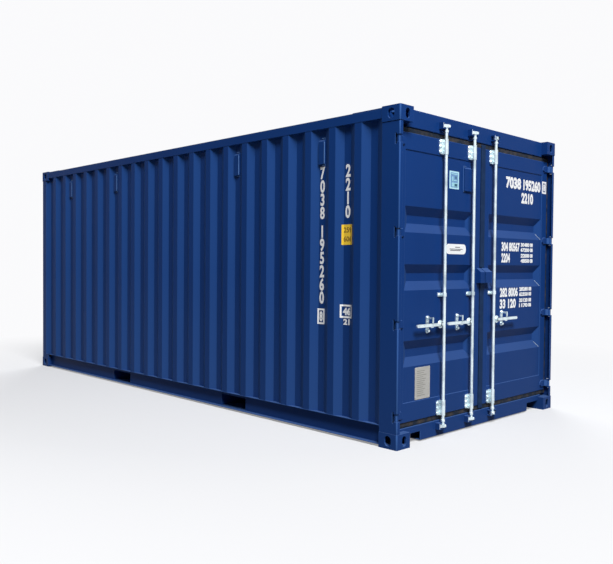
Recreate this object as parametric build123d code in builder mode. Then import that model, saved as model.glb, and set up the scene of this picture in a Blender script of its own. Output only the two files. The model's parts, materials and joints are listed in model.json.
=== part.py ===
from build123d import *
import math
import os

os.makedirs("parts", exist_ok=True)

# Overall size. X runs across, Y along with the doors at -Y, and Z up from the ground.
length = 6058
width = 2438
height = 2591
half_length = length / 2
half_width = width / 2

# Corner castings
casting_length = 178
casting_width = 162
casting_height = 118
casting_face_wall = 28.5
casting_side_wall = 16
casting_inner_wall = 12
face_slot = (124, 63.5)
side_slot = (79, 63.5)
end_slot = (79, 51)
face_slot_from_end = 102.5
side_slot_from_end = 89
slot_from_side = 89.5
slot_height = 60
casting_corner = 14

# Posts. Each lies a little inside the faces of the castings.
post_inset = 4
post_plate = 6
post_corner = 12
rear_post_flange = 42
front_post_side = 113
front_post_end = 162
front_post_inner = 50
stop_width = 110
stop_depth = 40
stop_wall = 8

# Rails
rail_bottom = 18
rail_height = 150
rail_flange = 48
rail_plate = 4.5
top_rail_drop = 14
top_rail_height = 75
top_rail_width = 60
top_rail_wall = 4

# Door end
door_recess = 60
leaf_thickness = 50
leaf_edge = 48
leaf_bottom = 178
leaf_top_drop = 183
leaf_gap = 20
leaf_stile = 100
leaf_bottom_rail = 153
leaf_top_rail = 133
stop_gap = 8
header_drop = 2
header_height = 139
header_stop_height = 65
header_depth = 100
sill_bottom = 10
sill_top = 136
sill_stop_height = 30
end_plate = 6
sill_notch = (210, 72)

# Door panels
panel_recess = 6
panel_sheet = 2
band_heights = (1747, 1299, 707)
band_height = 202
band_depth = 36
band_slope = 70

# Gaskets
gasket_thickness = 36
gasket_from_face = 8
gasket_side_gap = 5
gasket_top_reach = 36
gasket_bottom_reach = 36
gasket_centre_gap = 12

# Hinges
pin_from_side = 24
pin_from_end = 26
pin_radius = 8
pin_overrun = 5
barrel_radius = 15
barrel_height = 56
barrel_play = 1
lug_plate = 12
lug_reach = 38
lug_hole_play = 0.05
barrel_play_radial = 0.1
blade_plate = 12
blade_reach = 106
blade_corner = 14
hinge_notch_depth = 50
lowest_hinge = 244
top_hinge_drop = 253
hinges_on_post = 4

# Side and end walls
side_setback = 2
side_sheet = 2
side_depth = 36
side_pitch = 278
side_outer_flat = 72
side_slope = 68
side_front_margin = 103
side_rear_margin = 90
end_depth = 45
end_pitch_wanted = 264
end_outer_flat = 69
end_slope = 63
end_sheet = 2

# Roof
roof_sheet = 2
roof_depth = 20
roof_pitch = 209
roof_slope = 14
roof_rib_margin = 40

# Floor
floor_thickness = 28
floor_top = 168
member_height = 122
member_flange = 45
member_plate = 4
member_pitch = 285
pocket_pitch = 2050
pocket_width = 360
pocket_height = 112
pocket_plate = 5

# Vents. Two hoods stand near each end of a wall, counted in troughs from that end.
vent_troughs_from_front = (2, 6)
vent_troughs_from_rear = (2, 6)
vent_size = (66, 205, 18)
vent_drop = 77
vent_sheet = 2.5
door_vent_size = (104, 200, 14)
door_vent_from_rod = 56
door_vent_drop = 288

# Lock gear
rod_radius = 13.5
rod_from_end = 30
outer_rod = 585
inner_rod = 170
top_keeper_rise = 62
bottom_keeper_rise = 82
cam_height = 24
cam_radius = 22
cam_wing = 40
cam_tip_radius = 9
keeper_plate = 8
keeper_play = 6
keeper_reach = (60, 34)
keeper_front = 18
guide_play = 0.4
guide_radius = 18.5
guide_plate = (58, 118, 8)
guide_plate_corner = 12
guide_overrun = 6
guide_from_edge = 60
middle_guide_height = 1157
middle_guide_sleeve = 30
middle_guide_width = 48
handle_height = 920
hub_offset = 50
hub_radius = 22
hub_plate = 12
handle_length = 332
handle_bar = (24, 12)
handle_from_end = 10
handle_eye_radius = 20
handle_neck = (16, 60)
pivot_radius = 8
pivot_play = 0.1
hub_gap = 2
bolt_head = 6
bolt_flange = 5
retainer_plate = 8
retainer_width = 36
retainer_corner = 8
retainer_play = 2
catch_plate = 5
catch_gap = 3
catch_width = 18
catch_length = 28
catch_pivot_height = 54
catch_hole = 5.1
catch_corner = 5
catch_end_play = 0.5
bolt_end = 1
retainer_offset = 185
retainer_shelf = 6
retainer_below = 65
stud_radius = 7

# Roof corner plates
corner_plate = (150, 300)
corner_plate_thickness = 4

# Lock box
lock_box_bottom = 1245
lock_box_height = 128
lock_box_depth = 46
lock_box_reach = (70, 110)
lock_box_slope = 34
lock_box_sheet = 5

post_bottom = casting_height
post_top = height - casting_height
top_rail_top = height - top_rail_drop
leaf_top = height - leaf_top_drop
header_top = height - header_drop
header_bottom = header_top - header_height
header_stop_bottom = header_bottom - header_stop_height
top_keeper_height = header_bottom + top_keeper_rise
bottom_keeper_height = sill_bottom + bottom_keeper_rise
hinge_gap = (height - top_hinge_drop - lowest_hinge) / (hinges_on_post - 1)
hinge_heights = [lowest_hinge + index * hinge_gap for index in range(hinges_on_post)]
door_face = -half_length + door_recess
panel_face = door_face + panel_recess
leaf_back = door_face + leaf_thickness
leaf_outer = -half_width + leaf_edge
pin_x = -half_width + pin_from_side
pin_y = -half_length + pin_from_end
rod_y = -half_length + rod_from_end


def rear_left(from_side, from_end):
    return (-half_width + from_side, -half_length + from_end)


def corrugation(troughs, pitch, outer_flat, slope, depth, first):
    # Corner points along a folded sheet: (along, inward), with a whole outer flat between troughs
    inner_flat = pitch - outer_flat - 2 * slope
    points = []
    for index in range(troughs):
        centre = first + index * pitch
        points.append((centre - inner_flat / 2 - slope, 0))
        points.append((centre - inner_flat / 2, depth))
        points.append((centre + inner_flat / 2, depth))
        points.append((centre + inner_flat / 2 + slope, 0))
    return points


def pressed_tray(across, along, depth, slope):
    # A flat-bottomed hollow with slanted sides, its mouth on Z = 0, to add below a sheet and cut from it
    with BuildPart() as tray:
        for plane, mouth, run, fusing in (
            (Plane.XZ, across, along, Mode.ADD),
            (Plane.YZ, along, across, Mode.INTERSECT),
        ):
            with BuildSketch(plane):
                with BuildLine():
                    Polyline(
                        (-mouth / 2, 0),
                        (mouth / 2, 0),
                        (mouth / 2 - slope, -depth),
                        (slope - mouth / 2, -depth),
                        close=True,
                    )
                make_face()
            extrude(amount=run / 2, both=True, mode=fusing)
    return tray.part


# Corner castings: hollow boxes with a slot in the face, the side and the end
with BuildPart() as casting:
    with BuildSketch(Plane.XY):
        with Locations(rear_left(casting_width / 2, casting_length / 2)):
            Rectangle(casting_width, casting_length)
        fillet(vertices().sort_by_distance(rear_left(0, 0))[0], casting_corner)
    extrude(amount=casting_height)
    cavity_width = casting_width - casting_side_wall - casting_inner_wall
    cavity_length = casting_length - casting_side_wall - casting_inner_wall
    with BuildSketch(Plane.XY.offset(casting_face_wall)):
        with Locations(
            rear_left(casting_side_wall + cavity_width / 2, casting_side_wall + cavity_length / 2)
        ):
            Rectangle(cavity_width, cavity_length)
    extrude(amount=casting_height - casting_face_wall - casting_inner_wall, mode=Mode.SUBTRACT)
    with BuildSketch(Plane.XY):
        with Locations(rear_left(slot_from_side, face_slot_from_end)):
            SlotOverall(*face_slot, rotation=90)
    extrude(amount=casting_face_wall, mode=Mode.SUBTRACT)
    with BuildSketch(Plane.YZ.offset(-half_width)):
        with Locations((-half_length + side_slot_from_end, slot_height)):
            SlotOverall(*side_slot, rotation=90)
    extrude(amount=casting_side_wall, mode=Mode.SUBTRACT)
    with BuildSketch(Plane.XZ.offset(half_length)):
        with Locations((-half_width + slot_from_side, slot_height)):
            SlotOverall(*end_slot, rotation=90)
    extrude(amount=-casting_side_wall, mode=Mode.SUBTRACT)

with BuildPart() as bottom_corner_castings:
    add(casting.part)
    mirror(about=Plane.YZ)
    mirror(about=Plane.XZ)
bottom_corner_castings.part.label = "bottom_corner_castings"
export_step(bottom_corner_castings.part, "parts/bottom_corner_castings.step")

with BuildPart() as top_corner_castings:
    mirror(bottom_corner_castings.part, about=Plane.XY.offset(height / 2))
top_corner_castings.part.label = "top_corner_castings"
export_step(top_corner_castings.part, "parts/top_corner_castings.step")

# Rear posts: an outer plate bent round the corner, with a closed channel that stops the door.
# Each is cut out at the hinges, where two welded lugs hold the pin.
post_inner = post_inset + post_plate
lug_side = lug_reach - post_inset
stop_face = door_recess + leaf_thickness + stop_gap
with BuildPart() as rear_corner_posts:
    with BuildSketch(Plane.XY.offset(post_bottom)):
        with BuildLine():
            Polyline(
                rear_left(post_inset, post_inset),
                rear_left(rear_post_flange, post_inset),
                rear_left(rear_post_flange, post_inner),
                rear_left(post_inner, post_inner),
                rear_left(post_inner, stop_face),
                rear_left(stop_width, stop_face),
                rear_left(stop_width, stop_face + stop_depth),
                rear_left(post_inner, stop_face + stop_depth),
                rear_left(post_inner, casting_length),
                rear_left(post_inset, casting_length),
                close=True,
            )
        make_face()
        fillet(vertices().sort_by_distance(rear_left(0, 0))[0], post_corner)
        fillet(
            vertices().sort_by_distance(rear_left(post_inner, post_inner))[0],
            post_corner - post_plate,
        )
        hollow_width = stop_width - post_inner - stop_wall
        with Locations(
            rear_left(post_inner + hollow_width / 2, stop_face + stop_depth / 2)
        ):
            Rectangle(hollow_width, stop_depth - 2 * stop_wall, mode=Mode.SUBTRACT)
    extrude(amount=post_top - post_bottom)
    notch_height = barrel_height + 2 * barrel_play + 2 * lug_plate
    for hinge_height in hinge_heights:
        with BuildSketch(Plane.XY.offset(hinge_height - notch_height / 2)):
            with Locations(rear_left(rear_post_flange / 2, hinge_notch_depth / 2)):
                Rectangle(rear_post_flange, hinge_notch_depth)
        extrude(amount=notch_height, mode=Mode.SUBTRACT)
        for lug_bottom in (
            hinge_height - notch_height / 2,
            hinge_height + notch_height / 2 - lug_plate,
        ):
            with BuildSketch(Plane.XY.offset(lug_bottom)):
                with Locations(rear_left(post_inset + lug_side / 2, post_inset + lug_side / 2)):
                    Rectangle(lug_side, lug_side)
                fillet(vertices().sort_by_distance(rear_left(0, 0))[0], post_corner)
                with Locations((pin_x, pin_y)):
                    Circle(pin_radius + lug_hole_play, mode=Mode.SUBTRACT)
            extrude(amount=lug_plate)
    mirror(about=Plane.YZ)
rear_corner_posts.part.label = "rear_corner_posts"
export_step(rear_corner_posts.part, "parts/rear_corner_posts.step")

# Front posts: one hollow section with a slanted inner face, and a foot that meets the rail
with BuildPart() as front_corner_posts:
    with BuildSketch(Plane.XY.offset(post_bottom)):
        with BuildLine():
            Polyline(
                rear_left(post_inset, post_inset),
                rear_left(front_post_end, post_inset),
                rear_left(front_post_end, front_post_inner),
                rear_left(front_post_inner, front_post_side),
                rear_left(post_inset, front_post_side),
                close=True,
            )
        make_face()
        fillet(vertices().sort_by_distance(rear_left(0, 0))[0], post_corner)
        offset(amount=-post_plate, mode=Mode.SUBTRACT)
    extrude(amount=post_top - post_bottom)
    with BuildSketch(Plane.XY.offset(post_bottom)):
        with Locations(
            rear_left(post_inset + post_plate / 2, (front_post_side + casting_length) / 2)
        ):
            Rectangle(post_plate, casting_length - front_post_side)
    extrude(amount=rail_bottom + rail_height - post_bottom)
    mirror(about=Plane.YZ)
    mirror(about=Plane.XZ, mode=Mode.REPLACE)
front_corner_posts.part.label = "front_corner_posts"
export_step(front_corner_posts.part, "parts/front_corner_posts.step")

# Side rails: hollow box at the top, outward channel at the bottom
rail_length = length - 2 * casting_length
with BuildPart() as top_side_rails:
    with BuildSketch(Plane.XZ.offset(-rail_length / 2)):
        with Locations(
            (-half_width + post_inset + top_rail_width / 2, top_rail_top - top_rail_height / 2)
        ):
            Rectangle(top_rail_width, top_rail_height)
            offset(amount=-top_rail_wall, mode=Mode.SUBTRACT)
    extrude(amount=rail_length)
    mirror(about=Plane.YZ)
top_side_rails.part.label = "top_side_rails"
export_step(top_side_rails.part, "parts/top_side_rails.step")

rail_top = rail_bottom + rail_height
pocket_outer_width = pocket_width + 2 * pocket_plate
pocket_outer_height = pocket_height + 2 * pocket_plate
rail_web = -half_width + post_inset + rail_flange
rail_web_face = rail_web - rail_plate
with BuildPart() as bottom_side_rails:
    with BuildSketch(Plane.XZ.offset(-rail_length / 2)):
        with BuildLine():
            Polyline(
                (rail_web - rail_flange, rail_bottom),
                (rail_web, rail_bottom),
                (rail_web, rail_top),
                (rail_web - rail_flange, rail_top),
                (rail_web - rail_flange, rail_top - rail_plate),
                (rail_web_face, rail_top - rail_plate),
                (rail_web_face, rail_bottom + rail_plate),
                (rail_web - rail_flange, rail_bottom + rail_plate),
                close=True,
            )
        make_face()
    extrude(amount=rail_length)
    with BuildSketch(Plane.XY.offset(rail_bottom)):
        with Locations(((rail_web + rail_web_face) / 2, 0)):
            with GridLocations(0, pocket_pitch, 1, 2):
                Rectangle(rail_plate, pocket_outer_width)
    extrude(amount=pocket_outer_height, mode=Mode.SUBTRACT)
    mirror(about=Plane.YZ)
bottom_side_rails.part.label = "bottom_side_rails"
export_step(bottom_side_rails.part, "parts/bottom_side_rails.step")

# Front header and sill: hollow boxes between the castings
front_face = half_length - post_inset
front_span = width - 2 * casting_width
front_section = front_post_inner - post_inset
with BuildPart() as front_header:
    with BuildSketch(Plane.YZ.offset(-front_span / 2)):
        with Locations((front_face - front_section / 2, (post_top + top_rail_top) / 2)):
            Rectangle(front_section, top_rail_top - post_top)
            offset(amount=-top_rail_wall, mode=Mode.SUBTRACT)
    extrude(amount=front_span)
front_header.part.label = "front_header"
export_step(front_header.part, "parts/front_header.step")

with BuildPart() as front_sill:
    with BuildSketch(Plane.YZ.offset(-front_span / 2)):
        with Locations((front_face - front_section / 2, (rail_bottom + rail_top) / 2)):
            Rectangle(front_section, rail_height)
            offset(amount=-top_rail_wall, mode=Mode.SUBTRACT)
    extrude(amount=front_span)
front_sill.part.label = "front_sill"
export_step(front_sill.part, "parts/front_sill.step")

# Door header: a hollow beam between the castings, with a lip behind the doors that stops their tops
# and runs on under the castings to the posts
header_back = door_face + header_depth
stop_y = -half_length + stop_face
post_span = width - 2 * stop_width
header_outline = [
    (door_face, header_bottom),
    (door_face, header_top),
    (header_back, header_top),
    (header_back, header_stop_bottom),
    (stop_y, header_stop_bottom),
    (stop_y, header_bottom),
]
with BuildPart() as door_header:
    with BuildSketch(Plane.YZ.offset(-front_span / 2)):
        with BuildLine():
            Polyline(*header_outline, close=True)
        make_face()
    extrude(amount=front_span)
    with BuildSketch(Plane.YZ.offset(-front_span / 2 + end_plate)):
        with BuildLine():
            Polyline(*header_outline, close=True)
        make_face()
        offset(amount=-end_plate, mode=Mode.REPLACE)
    extrude(amount=front_span - 2 * end_plate, mode=Mode.SUBTRACT)
    for shoulder in (-post_span / 2, front_span / 2):
        with BuildSketch(Plane.YZ.offset(shoulder)):
            with Locations(((stop_y + header_back) / 2, (header_stop_bottom + post_top) / 2)):
                Rectangle(header_back - stop_y, post_top - header_stop_bottom)
        extrude(amount=casting_width - stop_width)
door_header.part.label = "door_header"
export_step(door_header.part, "parts/door_header.step")

# Door sill: a hollow beam with a raised lip behind the doors that stops their bottoms. It runs on
# over the castings to the posts, and a notch beside each casting goes right through it.
sill_stop_top = sill_top + sill_stop_height
sill_outline = [
    (door_face, sill_bottom),
    (door_face, sill_top),
    (stop_y, sill_top),
    (stop_y, sill_stop_top),
    (header_back, sill_stop_top),
    (header_back, sill_bottom),
]
with BuildPart() as door_sill:
    with BuildSketch(Plane.YZ.offset(-front_span / 2)):
        with BuildLine():
            Polyline(*sill_outline, close=True)
        make_face()
        offset(amount=-end_plate, mode=Mode.SUBTRACT)
    extrude(amount=front_span)
    with BuildSketch(Plane.XZ.offset(-door_face)):
        with GridLocations(front_span - sill_notch[0], 0, 2, 1):
            with Locations((0, sill_bottom + sill_notch[1] / 2)):
                Rectangle(*sill_notch)
    extrude(amount=-header_depth, mode=Mode.SUBTRACT)
    for shoulder in (-post_span / 2, front_span / 2):
        with BuildSketch(Plane.YZ.offset(shoulder)):
            with Locations(((door_face + header_back) / 2, (casting_height + sill_top) / 2)):
                Rectangle(header_depth, sill_top - casting_height)
            with Locations(((stop_y + header_back) / 2, (sill_top + sill_stop_top) / 2)):
                Rectangle(header_back - stop_y, sill_stop_height)
        extrude(amount=casting_width - stop_width)
door_sill.part.label = "door_sill"
export_step(door_sill.part, "parts/door_sill.step")

# Side walls: sheet folded into upright troughs between the rails
side_face = post_inset + side_setback
wall_front = half_length - front_post_side
wall_rear = half_length - casting_length
side_first_trough = wall_front - side_front_margin
side_troughs = 1 + math.floor((side_first_trough + wall_rear - side_rear_margin) / side_pitch)
side_points = corrugation(
    side_troughs, side_pitch, side_outer_flat, side_slope, side_depth,
    side_first_trough - (side_troughs - 1) * side_pitch,
)
side_line = [(-wall_rear, 0)] + side_points[:-1] + [(wall_front, 0)]
with BuildPart() as left_side_wall:
    with BuildSketch(Plane.XY.offset(rail_top)):
        with BuildLine():
            outside = [(-half_width + side_face + inward, along) for along, inward in side_line]
            inside = [(x + side_sheet, y) for x, y in reversed(outside)]
            Polyline(*outside, *inside, close=True)
        make_face()
    extrude(amount=top_rail_top - top_rail_height - rail_top)
    with BuildSketch(Plane.XY.offset(post_top)):
        with Locations((-half_width + casting_width / 2, half_length - casting_length / 2)):
            Rectangle(casting_width, casting_length)
    extrude(amount=casting_height, mode=Mode.SUBTRACT)
left_side_wall.part.label = "left_side_wall"
export_step(left_side_wall.part, "parts/left_side_wall.step")

with BuildPart() as right_side_wall:
    mirror(left_side_wall.part, about=Plane.YZ)
right_side_wall.part.label = "right_side_wall"
export_step(right_side_wall.part, "parts/right_side_wall.step")

# Front wall: sheet folded into upright troughs between the front posts
end_troughs = round(front_span / end_pitch_wanted)
end_pitch = front_span / end_troughs
end_points = corrugation(
    end_troughs, end_pitch, end_outer_flat, end_slope, end_depth, -front_span / 2 + end_pitch / 2
)
end_line = [(-front_span / 2, 0)] + end_points + [(front_span / 2, 0)]
with BuildPart() as front_wall:
    with BuildSketch(Plane.XY.offset(rail_top)):
        with BuildLine():
            outside = [(along, front_face - inward) for along, inward in end_line]
            inside = [(x, y - end_sheet) for x, y in reversed(outside)]
            Polyline(*outside, *inside, close=True)
        make_face()
    extrude(amount=post_top - rail_top)
front_wall.part.label = "front_wall"
export_step(front_wall.part, "parts/front_wall.step")

# Roof: a flat sheet on the rails, header to header, with ribs pressed down between the rails
roof_rear = header_back
roof_front = front_face - front_section
roof_span = roof_front - roof_rear
roof_ribs = math.floor(roof_span / roof_pitch)
roof_half = half_width - post_inset - top_rail_width
roof_rib_length = 2 * (roof_half - roof_rib_margin)
roof_rib = pressed_tray(roof_rib_length, roof_pitch / 2 + roof_slope, roof_depth, roof_slope)
with BuildPart() as roof_panel:
    with BuildSketch(Plane.XY.offset(top_rail_top)):
        with Locations((0, (roof_rear + roof_front) / 2)):
            Rectangle(2 * roof_half, roof_span)
        Rectangle(2 * (roof_half + top_rail_width), rail_length)
        with GridLocations(width - casting_width, length - casting_length, 2, 2):
            Rectangle(casting_width, casting_length, mode=Mode.SUBTRACT)
    extrude(amount=roof_sheet)
    for tray_mouth, fusing in ((top_rail_top, Mode.ADD), (top_rail_top + roof_sheet, Mode.SUBTRACT)):
        with Locations((0, (roof_rear + roof_front) / 2, tray_mouth)):
            with GridLocations(0, roof_pitch, 1, roof_ribs):
                add(roof_rib, mode=fusing)
roof_panel.part.label = "roof_panel"
export_step(roof_panel.part, "parts/roof_panel.step")

# Floor boards on channel members, with two tunnels for the forks of a truck
floor_half = -rail_web
floor_rear = header_back
floor_front = front_face - front_section
with BuildPart() as floor_boards:
    with BuildSketch(Plane.XY.offset(floor_top - floor_thickness)):
        with Locations((0, (floor_rear + floor_front) / 2)):
            Rectangle(2 * floor_half, floor_front - floor_rear)
        with Locations((0, half_length - front_post_side / 2)):
            with GridLocations(width - front_post_end, 0, 2, 1):
                Rectangle(front_post_end, front_post_side, mode=Mode.SUBTRACT)
    extrude(amount=floor_thickness)
floor_boards.part.label = "floor_boards"
export_step(floor_boards.part, "parts/floor_boards.step")


def member_places(bay_start, bay_end):
    # Even places between two fork pockets, or between a pocket and the end of the floor
    spaces = round((bay_end - bay_start) / member_pitch)
    return [bay_start + (bay_end - bay_start) * space / spaces for space in range(1, spaces)]


pocket_near = pocket_pitch / 2 - pocket_outer_width / 2
pocket_far = pocket_pitch / 2 + pocket_outer_width / 2
middle_members = member_places(-pocket_near, pocket_near)
rear_members = member_places(floor_rear, -pocket_far)
front_members = member_places(pocket_far, floor_front)
with BuildPart() as cross_members:
    with BuildSketch(Plane.YZ.offset(-floor_half)):
        for member_y in rear_members + middle_members + front_members:
            with Locations((member_y, rail_bottom + member_height / 2)):
                Rectangle(member_flange, member_height)
                with Locations((member_plate, 0)):
                    Rectangle(
                        member_flange, member_height - 2 * member_plate, mode=Mode.SUBTRACT
                    )
    extrude(amount=2 * floor_half)
cross_members.part.label = "cross_members"
export_step(cross_members.part, "parts/cross_members.step")

# Fork pockets: tunnels that end in the webs of the bottom rails
with BuildPart() as fork_pockets:
    with BuildSketch(Plane.YZ.offset(rail_web_face)):
        with Locations((0, rail_bottom + pocket_outer_height / 2)):
            with GridLocations(pocket_pitch, 0, 2, 1):
                Rectangle(pocket_outer_width, pocket_outer_height)
                Rectangle(pocket_width, pocket_height, mode=Mode.SUBTRACT)
    extrude(amount=-2 * rail_web_face)
fork_pockets.part.label = "fork_pockets"
export_step(fork_pockets.part, "parts/fork_pockets.step")


def hood_outline(foot, top, size):
    # A hood seen from its side: (outward, up) from the foot of its slanted top, open below
    tall, deep = size
    return [(foot, top), (foot - deep, top - deep), (foot - deep, top - tall), (foot, top - tall)]


# Side vents: small hoods, open below, on the flats of four troughs of each wall
vent_troughs = list(vent_troughs_from_front)
vent_troughs += [side_troughs - 1 - trough for trough in vent_troughs_from_rear]
vent_top = top_rail_top - top_rail_height - vent_drop
vent_foot = -half_width + side_face + side_depth
with BuildPart() as side_vents:
    for trough in vent_troughs:
        vent_y = side_first_trough - trough * side_pitch
        with BuildSketch(Plane.XZ.offset(-vent_y - vent_size[0] / 2)):
            with BuildLine():
                Polyline(*hood_outline(vent_foot, vent_top, vent_size[1:]), close=True)
            make_face()
        extrude(amount=vent_size[0])
        hollow = (vent_size[1] - 2 * vent_sheet, vent_size[2] - vent_sheet)
        with BuildSketch(Plane.XZ.offset(-vent_y - vent_size[0] / 2 + vent_sheet)):
            with BuildLine():
                Polyline(*hood_outline(vent_foot, vent_top - 2 * vent_sheet, hollow), close=True)
            make_face()
        extrude(amount=vent_size[0] - 2 * vent_sheet, mode=Mode.SUBTRACT)
    mirror(about=Plane.YZ)
side_vents.part.label = "side_vents"
export_step(side_vents.part, "parts/side_vents.step")

# Hinges: a pin through each pair of lugs, and a blade with a barrel on each door
pin_length = notch_height + 2 * pin_overrun
with BuildPart() as hinge_pins:
    for hinge_height in hinge_heights:
        with BuildSketch(Plane.XY.offset(hinge_height - pin_length / 2)):
            with Locations((pin_x, pin_y)):
                Circle(pin_radius)
        extrude(amount=pin_length)
    mirror(about=Plane.YZ)
hinge_pins.part.label = "hinge_pins"
export_step(hinge_pins.part, "parts/hinge_pins.step")

with BuildPart() as left_door_hinges:
    for hinge_height in hinge_heights:
        with BuildSketch(Plane.XY.offset(hinge_height - barrel_height / 2)):
            with BuildLine():
                Polyline(
                    (pin_x - barrel_radius, pin_y),
                    (pin_x, door_face),
                    (pin_x + blade_reach, door_face),
                    (pin_x + blade_reach, door_face - blade_plate),
                    (pin_x + 2 * barrel_radius, door_face - blade_plate),
                    (pin_x + barrel_radius, pin_y),
                    close=True,
                )
            make_face()
            with Locations((pin_x, pin_y)):
                Circle(barrel_radius)
                Circle(pin_radius + barrel_play_radial, mode=Mode.SUBTRACT)
        extrude(amount=barrel_height)
    chamfer(edges().filter_by(Axis.Y).group_by(Axis.X)[-1], blade_corner)
left_door_hinges.part.label = "left_door_hinges"
export_step(left_door_hinges.part, "parts/left_door_hinges.step")

with BuildPart() as right_door_hinges:
    mirror(left_door_hinges.part, about=Plane.YZ)
right_door_hinges.part.label = "right_door_hinges"
export_step(right_door_hinges.part, "parts/right_door_hinges.step")

# Door leaves: a welded frame round a pressed panel, with a gasket round the rim
leaf_width = -leaf_gap - leaf_outer
leaf_height = leaf_top - leaf_bottom
leaf_centre = ((leaf_outer - leaf_gap) / 2, (leaf_bottom + leaf_top) / 2)
panel_width = leaf_width - 2 * leaf_stile
panel_height = leaf_height - leaf_bottom_rail - leaf_top_rail
panel_centre = (leaf_centre[0], leaf_bottom + leaf_bottom_rail + panel_height / 2)
with BuildPart() as left_door_frame:
    with BuildSketch(Plane.XZ.offset(-door_face)):
        with Locations(leaf_centre):
            Rectangle(leaf_width, leaf_height)
        with Locations(panel_centre):
            Rectangle(panel_width, panel_height, mode=Mode.SUBTRACT)
    extrude(amount=-leaf_thickness)
left_door_frame.part.label = "left_door_frame"
export_step(left_door_frame.part, "parts/left_door_frame.step")

with BuildPart() as right_door_frame:
    mirror(left_door_frame.part, about=Plane.YZ)
right_door_frame.part.label = "right_door_frame"
export_step(right_door_frame.part, "parts/right_door_frame.step")

band_tray = pressed_tray(panel_width - 2 * panel_sheet, band_height, band_depth, band_slope)
with BuildPart() as left_door_panel:
    with BuildSketch(Plane.XZ.offset(-panel_face)):
        with Locations(panel_centre):
            Rectangle(panel_width, panel_height)
    extrude(amount=-panel_sheet)
    for tray_mouth, fusing in ((panel_face + panel_sheet, Mode.ADD), (panel_face, Mode.SUBTRACT)):
        for band_centre in band_heights:
            with Locations(Location((leaf_centre[0], tray_mouth, band_centre), (90, 0, 0))):
                add(band_tray, mode=fusing)
left_door_panel.part.label = "left_door_panel"
export_step(left_door_panel.part, "parts/left_door_panel.step")

with BuildPart() as right_door_panel:
    mirror(left_door_panel.part, about=Plane.YZ)
right_door_panel.part.label = "right_door_panel"
export_step(right_door_panel.part, "parts/right_door_panel.step")

gasket_outer = -half_width + post_inner + gasket_side_gap
gasket_inner = -gasket_centre_gap / 2
gasket_low = leaf_bottom - gasket_bottom_reach
gasket_high = leaf_top + gasket_top_reach
with BuildPart() as left_door_gasket:
    with BuildSketch(Plane.XZ.offset(-door_face - gasket_from_face)):
        with Locations(((gasket_outer + gasket_inner) / 2, (gasket_low + gasket_high) / 2)):
            Rectangle(gasket_inner - gasket_outer, gasket_high - gasket_low)
        with Locations(leaf_centre):
            Rectangle(leaf_width, leaf_height, mode=Mode.SUBTRACT)
    extrude(amount=-gasket_thickness)
left_door_gasket.part.label = "left_door_gasket"
export_step(left_door_gasket.part, "parts/left_door_gasket.step")

with BuildPart() as right_door_gasket:
    mirror(left_door_gasket.part, about=Plane.YZ)
right_door_gasket.part.label = "right_door_gasket"
export_step(right_door_gasket.part, "parts/right_door_gasket.step")

with BuildPart() as left_door_vent:
    door_vent_x = -inner_rod - door_vent_from_rod
    door_vent_top = leaf_top - door_vent_drop + door_vent_size[1] / 2
    with BuildSketch(Plane.YZ.offset(door_vent_x - door_vent_size[0] / 2)):
        with BuildLine():
            Polyline(*hood_outline(panel_face, door_vent_top, door_vent_size[1:]), close=True)
        make_face()
    extrude(amount=door_vent_size[0])
    hollow = (door_vent_size[1] - 2 * vent_sheet, door_vent_size[2] - vent_sheet)
    with BuildSketch(Plane.YZ.offset(door_vent_x - door_vent_size[0] / 2 + vent_sheet)):
        with BuildLine():
            Polyline(*hood_outline(panel_face, door_vent_top - 2 * vent_sheet, hollow), close=True)
        make_face()
    extrude(amount=door_vent_size[0] - 2 * vent_sheet, mode=Mode.SUBTRACT)
left_door_vent.part.label = "left_door_vent"
export_step(left_door_vent.part, "parts/left_door_vent.step")

# Lock box: a housing with a slanted top, open below, in two halves that part where the doors meet
def lock_housing(start, end):
    # The outer end is closed, and the end where the doors meet is open for the padlock's bar
    lock_box_top = lock_box_bottom + lock_box_height
    closed_end = start if abs(start) > abs(end) else end
    inward = lock_box_sheet if closed_end < 0 else -lock_box_sheet
    with BuildPart() as housing:
        with BuildSketch(Plane.YZ.offset(start)):
            with BuildLine():
                Polyline(
                    (door_face, lock_box_bottom),
                    (door_face - lock_box_depth, lock_box_bottom),
                    (door_face - lock_box_depth, lock_box_top - lock_box_slope),
                    (door_face, lock_box_top),
                    close=True,
                )
            make_face()
        extrude(amount=end - start)
        with BuildSketch(Plane.YZ.offset(closed_end + inward)):
            with BuildLine():
                Polyline(
                    (door_face, lock_box_bottom),
                    (door_face - lock_box_depth + lock_box_sheet, lock_box_bottom),
                    (
                        door_face - lock_box_depth + lock_box_sheet,
                        lock_box_top - lock_box_slope - lock_box_sheet,
                    ),
                    (door_face, lock_box_top - 2 * lock_box_sheet),
                    close=True,
                )
            make_face()
        extrude(amount=math.copysign(end - start, inward), mode=Mode.SUBTRACT)
    return housing.part


with BuildPart() as left_lock_staple:
    add(lock_housing(-lock_box_reach[0], gasket_inner))
left_lock_staple.part.label = "left_lock_staple"
export_step(left_lock_staple.part, "parts/left_lock_staple.step")

with BuildPart() as right_lock_box:
    add(lock_housing(-gasket_inner, lock_box_reach[1]))
right_lock_box.part.label = "right_lock_box"
export_step(right_lock_box.part, "parts/right_lock_box.step")

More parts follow.
